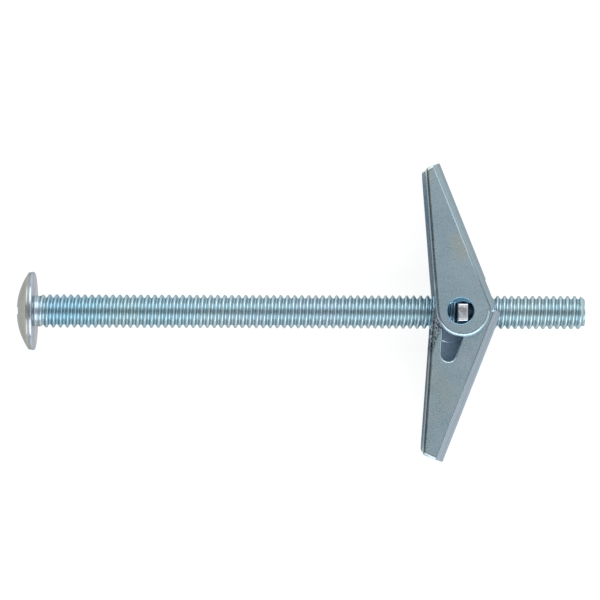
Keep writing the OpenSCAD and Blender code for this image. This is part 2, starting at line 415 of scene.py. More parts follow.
def start_plating(name, grain_scale, cloud_scale):
    """An empty plated material: it, its tree, the place, grain, cloud and relief"""
    material = bpy.data.materials.new(name)
    material.use_nodes = True
    tree = material.node_tree
    place = tree.nodes.new("ShaderNodeTexCoord").outputs["Object"]
    grain = place_group(tree, "plating grain", plating_grain_group, Position=place,
                        Grain_Scale=grain_scale, Cloud_Scale=cloud_scale)
    return material, tree, place, grain["Grain"], grain["Cloud"], grain["Height"]


def finish_plating(tree, colour, roughness, relief, strength, depth, tint=(1.0, 1.0, 1.0)):
    """Feeds the shader of a plated material; depth is the relief's, in metres"""
    shader = next(n for n in tree.nodes if n.type == "BSDF_PRINCIPLED")
    bump = tree.nodes.new("ShaderNodeBump")
    fill(tree, bump, Height=relief, Strength=strength, Distance=depth)
    fill(tree, shader, Base_Color=colour, Roughness=roughness, Metallic=1.0,
         Specular_Tint=tint, Normal=bump.outputs["Normal"])


# ---- plated finishes


# painted shade for the wings: the crease, the start of the rolled edge and beside the ear
PAINTED_SHADE = (0.022, 0.032, 0.045)
# painted shade for the bend's first turn
BEND_SHADE = (0.08, 0.10, 0.115)
# painted shade for the rolled free edge
ROLLED_EDGE_SHADE = (0.20, 0.25, 0.275)
INSIDE_DARK, INSIDE_LIGHT = (0.31, 0.435, 0.56), (0.44, 0.575, 0.70)
BORE_DARK, BORE_LIGHT = (0.12, 0.32, 0.48), (0.25, 0.48, 0.64)
THREAD_ROOT_SHADE, THREAD_CLOUD = (0.325, 0.45, 0.51), (0.50, 0.60, 0.62)
# painted shade where the nut sits; a bluer tint near the head
THREAD_NUT_SHADE, THREAD_BLUED = (0.30, 0.465, 0.555), (0.31, 0.485, 0.57)
# a bluer rim; painted shade for the rim's wall
HEAD_RIM, HEAD_WALL_SHADE = (0.44, 0.50, 0.60), (0.27, 0.30, 0.28)
# a scuffed patch, a painted highlight and rubbed wear on the lug ends
LUG_SCUFFED, LUG_HIGHLIGHT, LUG_RUBBED = (0.40, 0.37, 0.37), (0.84, 0.88, 0.93), (0.80, 0.82, 0.88)
# painted shade for the nut's sides
NUT_SHADE_DARK, NUT_SHADE_LIGHT = (0.06, 0.105, 0.165), (0.14, 0.22, 0.31)
WIRE_STAIN = (0.36, 0.33, 0.30)


def wing_plating(name, colour, wing):
    """Pressed sheet: mottled grain, cloudy film, bend with painted shade in its crease, dark inside, rubbed
    edges, painted shade and highlights along the edges
    """
    material, tree, place, grain, cloud, relief = start_plating(
        name + "_plating", 5200.0, 170.0)
    colour = dark_of(colour, wing.tone)
    bend_at, edge_at = wing.bend_at, wing.edge_at
    sheet = tree.nodes.new("ShaderNodeUVMap")
    sheet.uv_map = "sheet"
    flat = sheet.outputs["UV"]
    across, along = axes(tree, flat)[:2]
    from_edge = math_node(tree, "SUBTRACT", across, times(tree, along, EDGE_SLOPE))
    height = absolute(tree, axes(tree, place)["Z"])
    by_bend = remap(tree, height, 5.2 * MM, 6.0 * MM)
    worn = worn_edge(tree, place, 1100.0)

    # the plates and their film
    skin = mix_colour(tree, grain, dark_of(colour, 0.8), light_of(colour, 0.08))
    skin = mix_colour(tree, times(tree, cloud, 0.55), skin, light_of(colour, 0.16))
    skin = film_tint(tree, place, skin, wing.straw, 0.2)

    # the bend: stretched, with painted shade where it starts, lilac outside
    on_bend = times(tree, by_bend, remap(tree, across, bend_at - 0.03, bend_at + 0.05))
    skin = mix_colour(tree, times(tree, on_bend, 0.85), skin, wing.bend_tint)
    first_turn_shade = times(tree, by_bend,
                       band(tree, across, bend_at - 0.22, bend_at + 0.12, 0.06))
    skin = mix_colour(tree, times(tree, first_turn_shade, wing.bend_shade), skin, BEND_SHADE)
    outer_bend = times(tree, by_bend, remap(tree, across, bend_at + 0.9, bend_at + 1.35),
                       remap(tree, cloud, 0.2, 0.7, 0.25, 0.8))
    skin = mix_colour(tree, outer_bend, skin, wing.lilac_tint)

    # the oiled inside, and the blued bore with the tab behind it
    deep = times(tree, attribute(tree, "inside"),
                 remap(tree, from_edge, edge_at + 0.55, edge_at + 0.9))
    skin = mix_colour(tree, deep, skin, mix_colour(tree, grain, INSIDE_DARK, INSIDE_LIGHT))
    tab = times(tree, remap(tree, length_of(tree, flat), 2.9, 3.2, 1.0, 0.0),
                band(tree, height, 6.1 * MM, 6.3 * MM, 0.1 * MM))
    skin = mix_colour(tree, highest(tree, tab, attribute(tree, "bore")), skin,
                      mix_colour(tree, cloud, BORE_DARK, BORE_LIGHT))

    # rubbed edges, a painted highlight on the inward rims, and painted shade on the rolled free edge
    rubbed = highest(tree, times(tree, worn, 0.12), times(tree, attribute(tree, "rim"), 0.8))
    skin = mix_colour(tree, rubbed, skin, light_of(colour, 0.45))
    # painted shade: the side-facing rolled free edge is painted darker, standing in for its dark reflection
    rounds = math_node(tree, "SUBTRACT", attribute(tree, "edge"), attribute(tree, "line"))
    rolled = times(tree, remap(tree, rounds, 0.2, 0.8), band(tree, along, 7.0, 24.2, 1.2),
                   remap(tree, from_edge, edge_at + 0.9, edge_at + 1.3, 0.75, 0.0))
    skin = mix_colour(tree, rolled, skin, ROLLED_EDGE_SHADE)

    # painted shade in the crease, along the start of the rolled edge and, speckled, beside the ear
    crease_shade = times(tree, band(tree, across, bend_at - 0.1, bend_at - 0.02, 0.05),
                   remap(tree, cloud, 0.0, 0.8, 0.3, 0.65))
    # painted shade along the first strip of the rolled edge, where it starts to round
    groove_shade = times(tree, attribute(tree, "line"),
                   remap(tree, noise(tree, place, 520.0), 0.35, 0.6, 0.15, 0.5))
    # painted shade, speckled: stands in for the dark reflection of the bulged strip beside the slot
    speckle_shade = times(tree, remap(tree, noise(tree, place, 2400.0, 2.0, 0.7), 0.44, 0.56),
                    band(tree, along, 3.0, 7.5, 3.0),
                    remap(tree, across, -2.9, -2.4, wing.ear_shade, 0.0))
    skin = mix_colour(tree, highest(tree, crease_shade, groove_shade, speckle_shade), skin, PAINTED_SHADE)

    rough = plus(tree, remap(tree, grain, 0.0, 1.0, 0.25, 0.38), times(tree, worn, -0.08),
                 times(tree, on_bend, 0.2))
    finish_plating(tree, skin, rough, relief, 0.16, 0.03 * MM, (0.6, 0.63, 0.7))
    return material


def thread_plating(colour):
    """Rolled thread: painted shade in the roots and where the nut sits, lighter rubbed crests, pale blue
    film
    """
    material, tree, place, grain, cloud, relief = start_plating(
        "thread_plating", 3000.0, 110.0)
    x = axes(tree, place)["X"]
    height = attribute(tree, "crest")
    # painted shade: the roots are darker and bluer
    skin = mix_colour(tree, remap(tree, height, 0.0, 0.8), THREAD_ROOT_SHADE, colour)
    skin = mix_colour(tree, remap(tree, height, 0.45, 0.9, 0.0, 0.2), skin,
                      light_of(colour, 0.4))
    skin = mix_colour(tree, times(tree, cloud, 0.3), skin, THREAD_CLOUD)
    # painted shade: a darker, bluer band on the thread where the nut and wings sit at rest
    under_nut_shade = band(tree, x, 74.0 * MM, 77.5 * MM, 4.0 * MM)
    skin = mix_colour(tree, under_nut_shade, skin, THREAD_NUT_SHADE)
    near_head = times(tree, remap(tree, x, 1.8 * MM, 2.6 * MM),
                      remap(tree, x, 6.0 * MM, 35.0 * MM, 0.9, 0.0))
    skin = mix_colour(tree, near_head, skin, THREAD_BLUED)
    finish_plating(tree, film_tint(tree, place, skin, 0.12, 0.1),
                   remap(tree, grain, 0.0, 1.0, 0.28, 0.39), relief, 0.15, 0.02 * MM,
                   (0.45, 0.52, 0.56))
    return material


def head_plating(colour, crown_radius, head_height):
    """Formed head: olive grey crown, bluer rim, darker die ring, painted shade in the recess and on the
    rim's wall
    """
    material, tree, place, grain, cloud, relief = start_plating("head_plating", 3000.0, 420.0)
    x = axes(tree, place)["X"]
    wavy_x = plus(tree, x, times(tree, cloud, 0.18 * MM))
    skin = mix_colour(tree, remap(tree, wavy_x, -1.1 * MM, -0.3 * MM), colour, HEAD_RIM)
    skin = mix_colour(tree, times(tree, grain, 0.3), skin, dark_of(colour, 0.72))
    die_ring = times(tree, band(tree, wavy_x, -1.9 * MM, -1.4 * MM, 0.3 * MM),
                     remap(tree, grain, 0.3, 0.8, 0.0, 0.3))
    skin = mix_colour(tree, die_ring, skin, dark_of(colour, 0.5))
    # painted shade: the recess's walls are darkened
    from_centre = length_of(tree, place, (crown_radius - head_height, 0.0, 0.0))
    recess = times(tree, remap(tree, from_centre, crown_radius - 0.3 * MM,
                               crown_radius - 0.1 * MM, 1.0, 0.0),
                   remap(tree, x, -1.0 * MM, -0.9 * MM, 1.0, 0.0))
    skin = mix_colour(tree, recess, skin, dark_of(colour, 0.28))
    # painted shade on the rim's wall, dimming the lamp highlight there, on a rougher sheared surface
    wall = band(tree, x, -0.93 * MM, -0.52 * MM, 0.05 * MM)
    skin = mix_colour(tree, times(tree, wall, 0.7), skin, HEAD_WALL_SHADE)
    rough = plus(tree, remap(tree, cloud, 0.0, 1.0, 0.18, 0.30), times(tree, wall, 0.24))
    finish_plating(tree, film_tint(tree, place, skin, 0.25, 0.1), rough, relief, 0.2,
                   0.02 * MM, (0.6, 0.6, 0.6))
    return material


def nut_plating(colour):
    """Stamped nut: scuffed lug ends with painted highlights along their edges, dark blue painted shade on
    its sides
    """
    material, tree, place, grain, cloud, relief = start_plating("nut_plating", 2600.0, 1100.0)
    _, y, z = axes(tree, place)
    lug_end = remap(tree, absolute(tree, z), 6.55 * MM, 6.8 * MM)
    end = mix_colour(tree, remap(tree, cloud, 0.35, 0.75), colour, LUG_SCUFFED)
    # painted highlight: ragged bright bands along the lug end's edges
    ragged = plus(tree, absolute(tree, y), times(tree, grain, 0.5 * MM))
    end = mix_colour(tree, remap(tree, ragged, 1.0 * MM, 1.25 * MM), end, LUG_HIGHLIGHT)
    end = mix_colour(tree, times(tree, worn_edge(tree, place, 1600.0), 0.5), end, LUG_RUBBED)
    # painted shade: the nut's sides, seen only in the hole's shadow, are painted dark blue
    sides = mix_colour(tree, grain, NUT_SHADE_DARK, NUT_SHADE_LIGHT)
    finish_plating(tree, mix_colour(tree, lug_end, sides, end),
                   remap(tree, grain, 0.0, 1.0, 0.26, 0.42), relief, 0.5, 0.04 * MM)
    return material


def wire_plating(colour):
    """Drawn wire: dark oiled steel with a fine grain and warmer stains"""
    material, tree, _, grain, cloud, relief = start_plating("wire_plating", 4200.0, 500.0)
    skin = mix_colour(tree, grain, dark_of(colour, 0.75), colour)
    skin = mix_colour(tree, times(tree, cloud, 0.4), skin, WIRE_STAIN)
    finish_plating(tree, skin, remap(tree, cloud, 0.0, 1.0, 0.25, 0.4), relief, 0.2,
                   0.02 * MM)
    return material


# ---- mesh helpers


VERT, EDGE = bmesh.types.BMVert, bmesh.types.BMEdge
UP = Vector((0, 0, 1))
CLOSE, LOOSE = 1e-7, 2e-6  # metres: points nearer than this are merged


def only(kind, geometry):
    """The vertices or the edges among an operator's results"""
    return [g for g in geometry if isinstance(g, kind)]


def everything(bm):
    return bm.verts[:] + bm.edges[:] + bm.faces[:]


def profile_chain(bm, points):
    """Vertices and edges of an open profile; each point is (along the axis, radius)"""
    verts = [bm.verts.new((x, 0.0, r)) for x, r in points]
    return verts + [bm.edges.new(pair) for pair in zip(verts, verts[1:])]


def arc(centre, radius, start, stop, count):
    """Points on an arc, angles in degrees, as (along, radius) pairs"""
    return [(centre[0] + radius * math.cos(math.radians(a)),
             centre[1] + radius * math.sin(math.radians(a)))
            for a in (start + (stop - start) * i / (count - 1) for i in range(count))]


def new_object(name, data):
    """An object in the scene"""
    obj = bpy.data.objects.new(name, data)
    bpy.context.scene.collection.objects.link(obj)
    return obj


def mesh_object(name, bm, *materials):
    """Turns a bmesh into an object in the scene"""
    mesh = bpy.data.meshes.new(name)
    bm.to_mesh(mesh)
    bm.free()
    for material in materials:
        mesh.materials.append(material)
    return new_object(name, mesh)


def finish_piece(name, bm, material, body, node, sharp):
    """Turns a bmesh into a piece that rides on its body, when one is given, and hides its CAD node"""
    obj = mesh_object(name, bm, material)
    mesh = obj.data
    mesh.polygons.foreach_set("use_smooth", [True] * len(mesh.polygons))
    mesh.set_sharp_from_angle(angle=math.radians(sharp))
    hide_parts(node)
    if body:
        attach(obj, body)
    return obj


def apply_modifiers(obj):
    """Bakes an object's modifiers into its mesh"""
    bpy.context.view_layer.update()
    evaluated = obj.evaluated_get(bpy.context.evaluated_depsgraph_get())
    mesh = bpy.data.meshes.new_from_object(evaluated)
    obj.modifiers.clear()
    old, obj.data = obj.data, mesh
    bpy.data.meshes.remove(old)


def even_shading(obj):
    """Keeps flat faces flat beside their rounded edges"""
    modifier = obj.modifiers.new("even shading", "WEIGHTED_NORMAL")
    modifier.keep_sharp = True
    modifier.weight = 90


# ---- the screw


# in millimetres: how far each point lies behind the crown's edge and outside its ridge
RIM_PROFILE = ((0.04, 0.022), (0.12, 0.026), (0.17, 0.012), (0.23, 0.008),
               (0.58, 0.112), (0.66, 0.134), (0.74, 0.14))
RECESS_EDGE = 0.07 * MM  # width of the recess's softened edges
# one flank of the thread: share of the pitch, share of the depth
THREAD_FLANK = ((0.0, 0.0), (0.075, 0.02), (0.135, 0.11), (0.31, 0.715), (0.365, 0.865),
                (0.43, 0.965))


def head_outline(s):
    """Half section of the head and neck, from the crown to where the thread starts"""
    crown, fillet, rim_round = s.crown_radius, NECK_START, 0.34 * MM
    ridge = s.head_radius - RIM_PROFILE[-1][1] * MM
    meets = math.degrees(math.asin(ridge / crown))
    points = arc((crown - s.head_height, 0.0), crown, 180.0, 180.0 - meets, 28)
    points[0] = (-s.head_height, 0.0)
    left = points[-1][0]
    points += [(left + along * MM, ridge + rise * MM) for along, rise in RIM_PROFILE]
    points += arc((-rim_round, s.head_radius - rim_round), rim_round, 90.0, 0.0, 7)
    points += arc((fillet, s.neck_radius + fillet), fillet, 180.0, 270.0, 5)
    end, sunk = fillet + 0.1 * MM, s.neck_radius - 0.04 * MM  # inside the thread's start
    return points + [(end, sunk), (end, 0.0)]


def recess_cutter(s):
    """Tapered cross with a conical middle, reaching into the crown"""
    bm = bmesh.new()
    over = 0.5 * MM
    top, floor = -s.head_height - over, -s.head_height + s.recess_depth
    half_wing, narrow, cone = 0.625 * MM, 0.75 * MM, 2.55 * MM
    taper = (s.recess_width / 2 - narrow) / s.recess_depth
    wide = s.recess_width / 2 + over * taper
    for turn in (0.0, 90.0):
        made = bmesh.ops.create_cube(bm, size=1.0)["verts"]
        for vert in made:
            deep = vert.co.x > 0
            vert.co = Vector((floor if deep else top, math.copysign(half_wing, vert.co.y),
                              math.copysign(narrow if deep else wide, vert.co.z)))
        bmesh.ops.rotate(bm, verts=made, cent=(0, 0, 0),
                         matrix=Matrix.Rotation(math.radians(turn), 3, "X"))
    bmesh.ops.create_cone(bm, cap_ends=True, segments=32, radius1=cone, radius2=narrow,
                          depth=floor - top,
                          matrix=Matrix.Translation(((floor + top) / 2, 0, 0))
                          @ Matrix.Rotation(math.pi / 2, 4, "Y"))
    bmesh.ops.recalc_face_normals(bm, faces=bm.faces)
    return mesh_object("recess_cutter", bm)


def screw_head(s, material):
    """Truss head with its neck and cross recess"""
    bm = bmesh.new()
    bmesh.ops.spin(bm, geom=profile_chain(bm, head_outline(s)), cent=(0, 0, 0),
                   axis=(1, 0, 0), dvec=(0, 0, 0), angle=math.tau, steps=128,
                   use_merge=True, use_duplicate=False)
    bmesh.ops.remove_doubles(bm, verts=bm.verts, dist=CLOSE)
    bmesh.ops.recalc_face_normals(bm, faces=bm.faces)
    obj = finish_piece("screw_head", bm, material, None, "bolt", sharp=30.0)
    cutter = recess_cutter(s)
    cut = obj.modifiers.new("recess", "BOOLEAN")
    cut.operation, cut.object, cut.solver = "DIFFERENCE", cutter, "EXACT"
    cut.use_self = True
    soft = obj.modifiers.new("recess edges", "BEVEL")
    soft.limit_method, soft.angle_limit = "ANGLE", math.radians(40)
    soft.width, soft.segments = RECESS_EDGE, 2
    apply_modifiers(obj)
    bpy.data.objects.remove(cutter)
    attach(obj, "bolt")


def screw_thread(s, material):
    """Rolled thread, faded in at the neck and chamfered at the tip"""
    bm = bmesh.new()
    crest = bm.verts.layers.float.new("crest")
    depth = s.thread_radius - s.root_radius
    section = [*THREAD_FLANK, (0.5, 1.0), *((1.0 - u, v) for u, v in reversed(THREAD_FLANK))]
    start = s.neck_length - 3.0 * s.pitch
    turns = math.ceil((s.length - start) / s.pitch) + 1
    steps = 56
    bmesh.ops.spin(bm, geom=profile_chain(bm, [(start + u * s.pitch, s.root_radius + v * depth)
                                               for u, v in section]),
                   cent=(0, 0, 0), axis=(-1, 0, 0), dvec=(s.pitch / steps, 0, 0),
                   angle=math.tau, steps=steps, use_merge=False, use_duplicate=False)
    made = 1
    while made < turns:
        twin = bmesh.ops.duplicate(bm, geom=everything(bm))["geom"]
        bmesh.ops.translate(bm, verts=only(VERT, twin), vec=(made * s.pitch, 0, 0))
        made *= 2
    bmesh.ops.remove_doubles(bm, verts=bm.verts, dist=LOOSE)
    for end, side in ((NECK_START, -1.0), (s.length, 1.0)):
        cut = bmesh.ops.bisect_plane(bm, geom=everything(bm), dist=CLOSE, clear_outer=True,
                                     plane_co=(end, 0, 0), plane_no=(side, 0, 0))
        bmesh.ops.contextual_create(bm, geom=only(EDGE, cut["geom_cut"]))
    fade, chamfer, end_radius = 1.5 * MM, 0.8 * MM, 2.4 * MM
    fade_from, neck_crest = 0.85, 0.8
    for vert in bm.verts:
        radius = math.hypot(vert.co.y, vert.co.z)
        if radius < 1e-6:
            continue
        share = min(max((vert.co.x - s.neck_length) / fade + fade_from, 0.0), 1.0)
        share = share * share * (3.0 - 2.0 * share)
        height = (radius - s.root_radius) / depth
        vert[crest] = neck_crest + (height - neck_crest) * share
        target = s.neck_radius + (radius - s.neck_radius) * share
        left = (s.length - vert.co.x) / chamfer
        if left < 1.0:
            target = min(target, end_radius + (s.thread_radius - end_radius) * left)
        vert.co.y *= target / radius
        vert.co.z *= target / radius
    bmesh.ops.recalc_face_normals(bm, faces=bm.faces)
    finish_piece("screw_thread", bm, material, "bolt", "bolt", sharp=60.0)


# ---- pressed pieces


FOLD_ANGLE = math.radians(30)  # edges sharper than this get rounded
FACES_TIP = 0.8  # a wall whose normal points this much along the wing is at its tip
BORDER_WEAR = 0.35  # wear where a round meets the sheet; 1 on the round itself
WEB_INSIDE = 4.5 * MM  # the web's inner face lies beyond this, across the wing


def cad_copy(node):
    """A merged copy of a CAD node's mesh with its flat faces joined up"""
    bm = bmesh.new()
    bm.from_mesh(frame["nodes"][node].data)
    bmesh.ops.remove_doubles(bm, verts=bm.verts, dist=LOOSE)
    bmesh.ops.dissolve_limit(bm, angle_limit=math.radians(1.0), verts=bm.verts,
                             edges=bm.edges, use_dissolve_boundaries=False)
    bm.normal_update()
    return bm


def closed_walls(bm):
    """Side faces of the sheet that close round a hole: their normals point at its middle"""
    left, found = {f for f in bm.faces if abs(f.normal.z) < 0.5}, set()
    while left:
        ring, queue = set(), [left.pop()]
        while queue:
            face = queue.pop()
            ring.add(face)
            for edge in face.edges:
                for other in edge.link_faces:
                    if other in left:
                        left.discard(other)
                        queue.append(other)
        middle = sum((f.calc_center_median() for f in ring), Vector()) / len(ring)
        inward = sum(f.normal.xy.dot((middle - f.calc_center_median()).xy) > 0 for f in ring)
        if inward > 0.9 * len(ring):
            found |= ring
    return found


def round_edges(bm, edges, radius, segments, shade_line=0.0):
    """Rounds the given edges; marks the rounds as edge and their first strip as line"""
    floats = bm.loops.layers.float
    layer = floats.get("edge") or floats.new("edge")
    made = bmesh.ops.bevel(bm, geom=edges, offset=radius, offset_type="OFFSET",
                           affect="EDGES", segments=segments, profile=0.5,
                           clamp_overlap=False, material=-1, loop_slide=True)
    fresh = set(made["faces"])
    line = floats.get("line") or floats.new("line")
    bm.normal_update()
    for face in fresh:
        beside = any(abs(f.normal.z) > 0.995 for e in face.edges
                     for f in e.link_faces if f not in fresh)
        for loop in face.loops:
            inner = all(f in fresh for f in loop.vert.link_faces)
            # line marks the strip where the round leaves the flat face; the wing plating paints shade on it
            loop[line] = shade_line if beside else 0.0
            loop[layer] = max(loop[layer], 1.0 if inner else BORDER_WEAR)


def wing_axes(name):
    """Directions towards the web and towards the tip of an open wing"""
    side, lean = WINGS[name].side, math.radians(WINGS[name].lean)
    return (Vector((math.cos(lean), side * math.sin(lean))),
            Vector((-math.sin(lean), side * math.cos(lean))))


def sheet_map(bm, name):
    """UV map in millimetres along the wing: x towards its web, y from the pivot to its tip"""
    layer = bm.loops.layers.uv.new("sheet")
    floats = bm.loops.layers.float
    inside, rim, bore = floats.new("inside"), floats.new("rim"), floats.new("bore")
    edge = floats["edge"]
    bm.normal_update()
    pivot = PIVOTS[name]
    across, along = wing_axes(name)
    for face in bm.faces:
        centre = face.calc_center_median()
        gap = (centre - pivot).xy
        faces_in = (face.normal.z * math.copysign(1.0, centre.z) < -0.3
                    or (face.normal.xy.dot(across) < -0.5 and gap.dot(across) > WEB_INSIDE))
        in_hole = gap.length < HOLE_REACH and abs(face.normal.z) < 0.98
        for loop in face.loops:
            loop[inside] = float(faces_in and loop[edge] == 0.0)
            # rim: inward-facing rounds, which the wing plating paints with a highlight
            loop[rim] = float(faces_in and loop[edge] > 0.0)
            loop[bore] = float(in_hole)
            gap = (loop.vert.co - pivot).xy
            loop[layer].uv = (gap.dot(across) / MM, gap.dot(along) / MM)


def pressed_wing(name, s, material):
    """One wing with rolled free edges, softly punched holes and lightly broken cut edges"""
    bm = cad_copy(name)
    pivot = PIVOTS[name]
    across, along = wing_axes(name)
    top, bottom = max(v.co.z for v in bm.verts), min(v.co.z for v in bm.verts)

    def sharp(edge):
        return edge.calc_face_angle(0.0) > FOLD_ANGLE

    def outer(edge):
        """True on a sharp edge that lies in one of the two outer faces"""
        heights = [v.co.z for v in edge.verts]
        return (sharp(edge)
                and any(all(abs(z - face) < 1e-6 for z in heights) for face in (top, bottom)))

    def wall_of(edge):
        return min(edge.link_faces, key=lambda f: abs(f.normal.z))

    def reach(edge):
        return max((v.co - pivot).xy.length for v in edge.verts)

    def rolled(edge):
        """True on the long free edge and round the ear, not on the tip or the web"""
        normal = wall_of(edge).normal.xy
        return normal.dot(along) < FACES_TIP and (
            normal.dot(across) < 0.1
            or (reach(edge) < EAR_REACH and normal.dot(along) < 0.0))

    def in_bend(edge):
        """True on the bend's inner arc where the web ends: too small to round"""
        play, high, inner = 0.05 * MM, 5.5 * MM, 5.6 * MM
        return all(abs((v.co - pivot).xy.dot(along) - WEB_START) < play
                   and abs(v.co.z) > high and (v.co - pivot).xy.dot(across) < inner
                   for v in edge.verts)

    hole_walls = closed_walls(bm)
    rims = [e for e in bm.edges if outer(e) and wall_of(e) in hole_walls]
    free = [e for e in bm.edges if outer(e) and wall_of(e) not in hole_walls]
    tip = [e for e in free if wall_of(e).normal.xy.dot(along) >= FACES_TIP]
    free = [e for e in free if rolled(e)]
    round_edges(bm, [e for e in rims if reach(e) < HOLE_REACH], s.hole_edge, 3)
    round_edges(bm, [e for e in rims if e.is_valid and reach(e) >= HOLE_REACH],
                s.slot_edge, 4)
    round_edges(bm, [e for e in free + tip if e.is_valid], s.rolled_edge, 6, 1.0)
    done = bm.loops.layers.float["edge"]
    plain = [e for e in bm.edges if sharp(e) and not in_bend(e)
             and all(loop[done] == 0.0 for f in e.link_faces for loop in f.loops)]
    round_edges(bm, plain, s.cut_edge, 2)
    bmesh.ops.dissolve_degenerate(bm, dist=1e-6, edges=bm.edges)
    sheet_map(bm, name)
    even_shading(finish_piece(name + "_pressed", bm, material, name, name,
                              sharp=50.0))


def pressed_nut(s, material):
    """The stamped nut with broken edges"""
    bm = cad_copy("trunnion_nut")
    bore = 3.3 * MM
    outer = [e for e in bm.edges if e.calc_face_angle(0.0) > FOLD_ANGLE
             and max(v.co.yz.length for v in e.verts) > bore]
    round_edges(bm, outer, s.nut_edge, 3)
    even_shading(finish_piece("nut_pressed", bm, material, "nut", "trunnion_nut",
                              sharp=50.0))


# ---- the spring


WIRE_GAP = 0.04 * MM  # between the coil's two turns
BENDING = 0.6  # share of a leg, from the coil on, over which it bends


def wire_start(place, direction, radius):
    """A bmesh with a ring of wire across the given direction, and the ring's edges"""
    bm = bmesh.new()
    turn = UP.rotation_difference(direction).to_matrix().to_4x4()
    verts = bmesh.ops.create_circle(bm, cap_ends=False, segments=12, radius=radius,
                                    matrix=Matrix.Translation(place) @ turn)["verts"]
    return bm, list({e for v in verts for e in v.link_edges})


def wire_run(bm, edges, step, count):
    """Extrudes a ring straight on; returns the ring at its end"""
    for _ in range(count):
        grown = bmesh.ops.extrude_edge_only(bm, edges=edges)["geom"]
        verts = only(VERT, grown)
        edges = [e for e in only(EDGE, grown) if all(v in verts for v in e.verts)]
        bmesh.ops.translate(bm, verts=verts, vec=step)
    return edges


def wire_bend(bm, edges, centre, axis, angle, steps, rise=Vector((0, 0, 0))):
    """Spins a ring round an axis; returns the ring at its end"""
    verts = list({v for e in edges for v in e.verts})
    return only(EDGE, bmesh.ops.spin(
        bm, geom=verts + edges, cent=centre, axis=axis, dvec=rise / steps, angle=angle,
        steps=steps, use_merge=False, use_duplicate=False)["geom_last"])


def close_wire(bm):
    """Caps open ends and turns the skin outwards"""
    bmesh.ops.holes_fill(bm, edges=[e for e in bm.edges if e.is_boundary], sides=0)
    bmesh.ops.recalc_face_normals(bm, faces=bm.faces)


def mirrored_down(bm):
    """Adds the other side's wire, below the screw's axis"""
    twin = bmesh.ops.duplicate(bm, geom=everything(bm))["geom"]
    bmesh.ops.scale(bm, vec=(1, 1, -1), verts=only(VERT, twin))
    bmesh.ops.remove_doubles(bm, verts=bm.verts, dist=CLOSE)
    bmesh.ops.recalc_face_normals(bm, faces=bm.faces)


def spring_piece(name, bm, material, body):
    return finish_piece(name, bm, material, body, "torsion_spring", sharp=60.0)


def leg_tip(name, height):
    """End of the leg that pushes a wing open"""
    across, along = wing_axes(name)
    place = PIVOTS[name].xy + across * LEG_INSET + along * LEG_REACH
    return Vector((place.x, place.y, height))


def torsion_spring(s, material):
    """Coils on the nut, and legs that bend with the wings"""
    half = s.wire / 2
    centre = Vector((NUT_LOW.x + NUT_HALF - s.coil_shift, 0.0, 0.0))
    high = SPRING_HIGH.z - half
    low = high - s.wire - WIRE_GAP
    up_tip, down_tip = leg_tip("upper_wing", low), leg_tip("lower_wing", high)
    coil_steps, leg_steps = 72, 30

    def leaves(tip, turn):
        """Angle on the coil where a straight leg to the tip leaves it"""
        gap = (tip - centre).xy
        return math.atan2(gap.y, gap.x) + turn * math.acos(s.coil_radius / gap.length)

    def on_coil(angle, z):
        return centre + Vector((s.coil_radius * math.cos(angle),
                                s.coil_radius * math.sin(angle), z))

    up_angle, down_angle = leaves(up_tip, -1), leaves(down_tip, 1)
    up_start, down_start = on_coil(up_angle, low), on_coil(down_angle, high)

    inwards = (down_start - down_tip).normalized()
    bm, ring = wire_start(down_start, inwards, half)
    wire_bend(bm, ring, centre, UP, math.tau + up_angle - down_angle, coil_steps,
              Vector((0, 0, low - high)))
    close_wire(bm)
    mirrored_down(bm)
    spring_piece("spring_coils", bm, material, "nut")

    bm, ring = wire_start(down_start, -inwards, half)
    wire_run(bm, ring, (down_tip - down_start) / leg_steps, leg_steps)
    close_wire(bm)
    mirrored_down(bm)
    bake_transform(spring_piece("spring_lower_legs", bm, material, None), "nut", "lower_wing",
             start=tuple(down_start), end=tuple(down_start.lerp(down_tip, BENDING)))

    curve, curve_steps, bridge_steps = 1.0 * MM, 8, 6
    run = (up_tip - up_start).normalized()
    straight = (up_tip - up_start).length - curve
    bm, ring = wire_start(up_start, run, half)
    ring = wire_run(bm, ring, run * straight / leg_steps, leg_steps)
    turn_at = up_start + run * straight - UP * curve
    ring = wire_bend(bm, ring, turn_at, UP.cross(run), math.pi / 2, curve_steps)
    wire_run(bm, ring, Vector((0, 0, -(low - curve) / bridge_steps)), bridge_steps)
    bmesh.ops.recalc_face_normals(bm, faces=bm.faces)
    mirrored_down(bm)
    close_wire(bm)
    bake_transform(spring_piece("spring_upper_legs", bm, material, None), "nut", "upper_wing",
             start=tuple(up_start), end=tuple(up_start.lerp(up_tip, BENDING)))


# ---- stage


CAMERA_PLACE, CAMERA_TURN = (0.0481, 0.00213), 0.17  # metres, degrees
MIDDLE = (0.05, 0.0, 0.0)  # what the lamps aim at and the floor is centred under
LAMP_SIDE, LAMP_HEIGHT, LAMP_SIZE = 0.395, 0.332, (0.9, 0.48)
FLOOR_GREY, SEEN_GREY, FLOOR_GLOW = 0.8, 0.22, 0.84
FLOOR_HALF, FLOOR_GAP = 1.5, 0.01 * MM
# brightness of the room along the screw, from the head's side to past the tip
ROOM = ((0.2, (0.17, 0.17, 0.18)), (0.40, (0.33, 0.3333, 0.3366)),
        (0.50, (0.42, 0.4242, 0.4284)), (0.60, (0.56, 0.5656, 0.5712)),
        (0.78, (0.82, 0.83, 0.84)))


def seen_ray(tree):
    """1 for camera, glossy and transmission rays"""
    path = tree.nodes.new("ShaderNodeLightPath").outputs
    return highest(tree, path["Is Camera Ray"], path["Is Glossy Ray"],
                   path["Is Transmission Ray"])


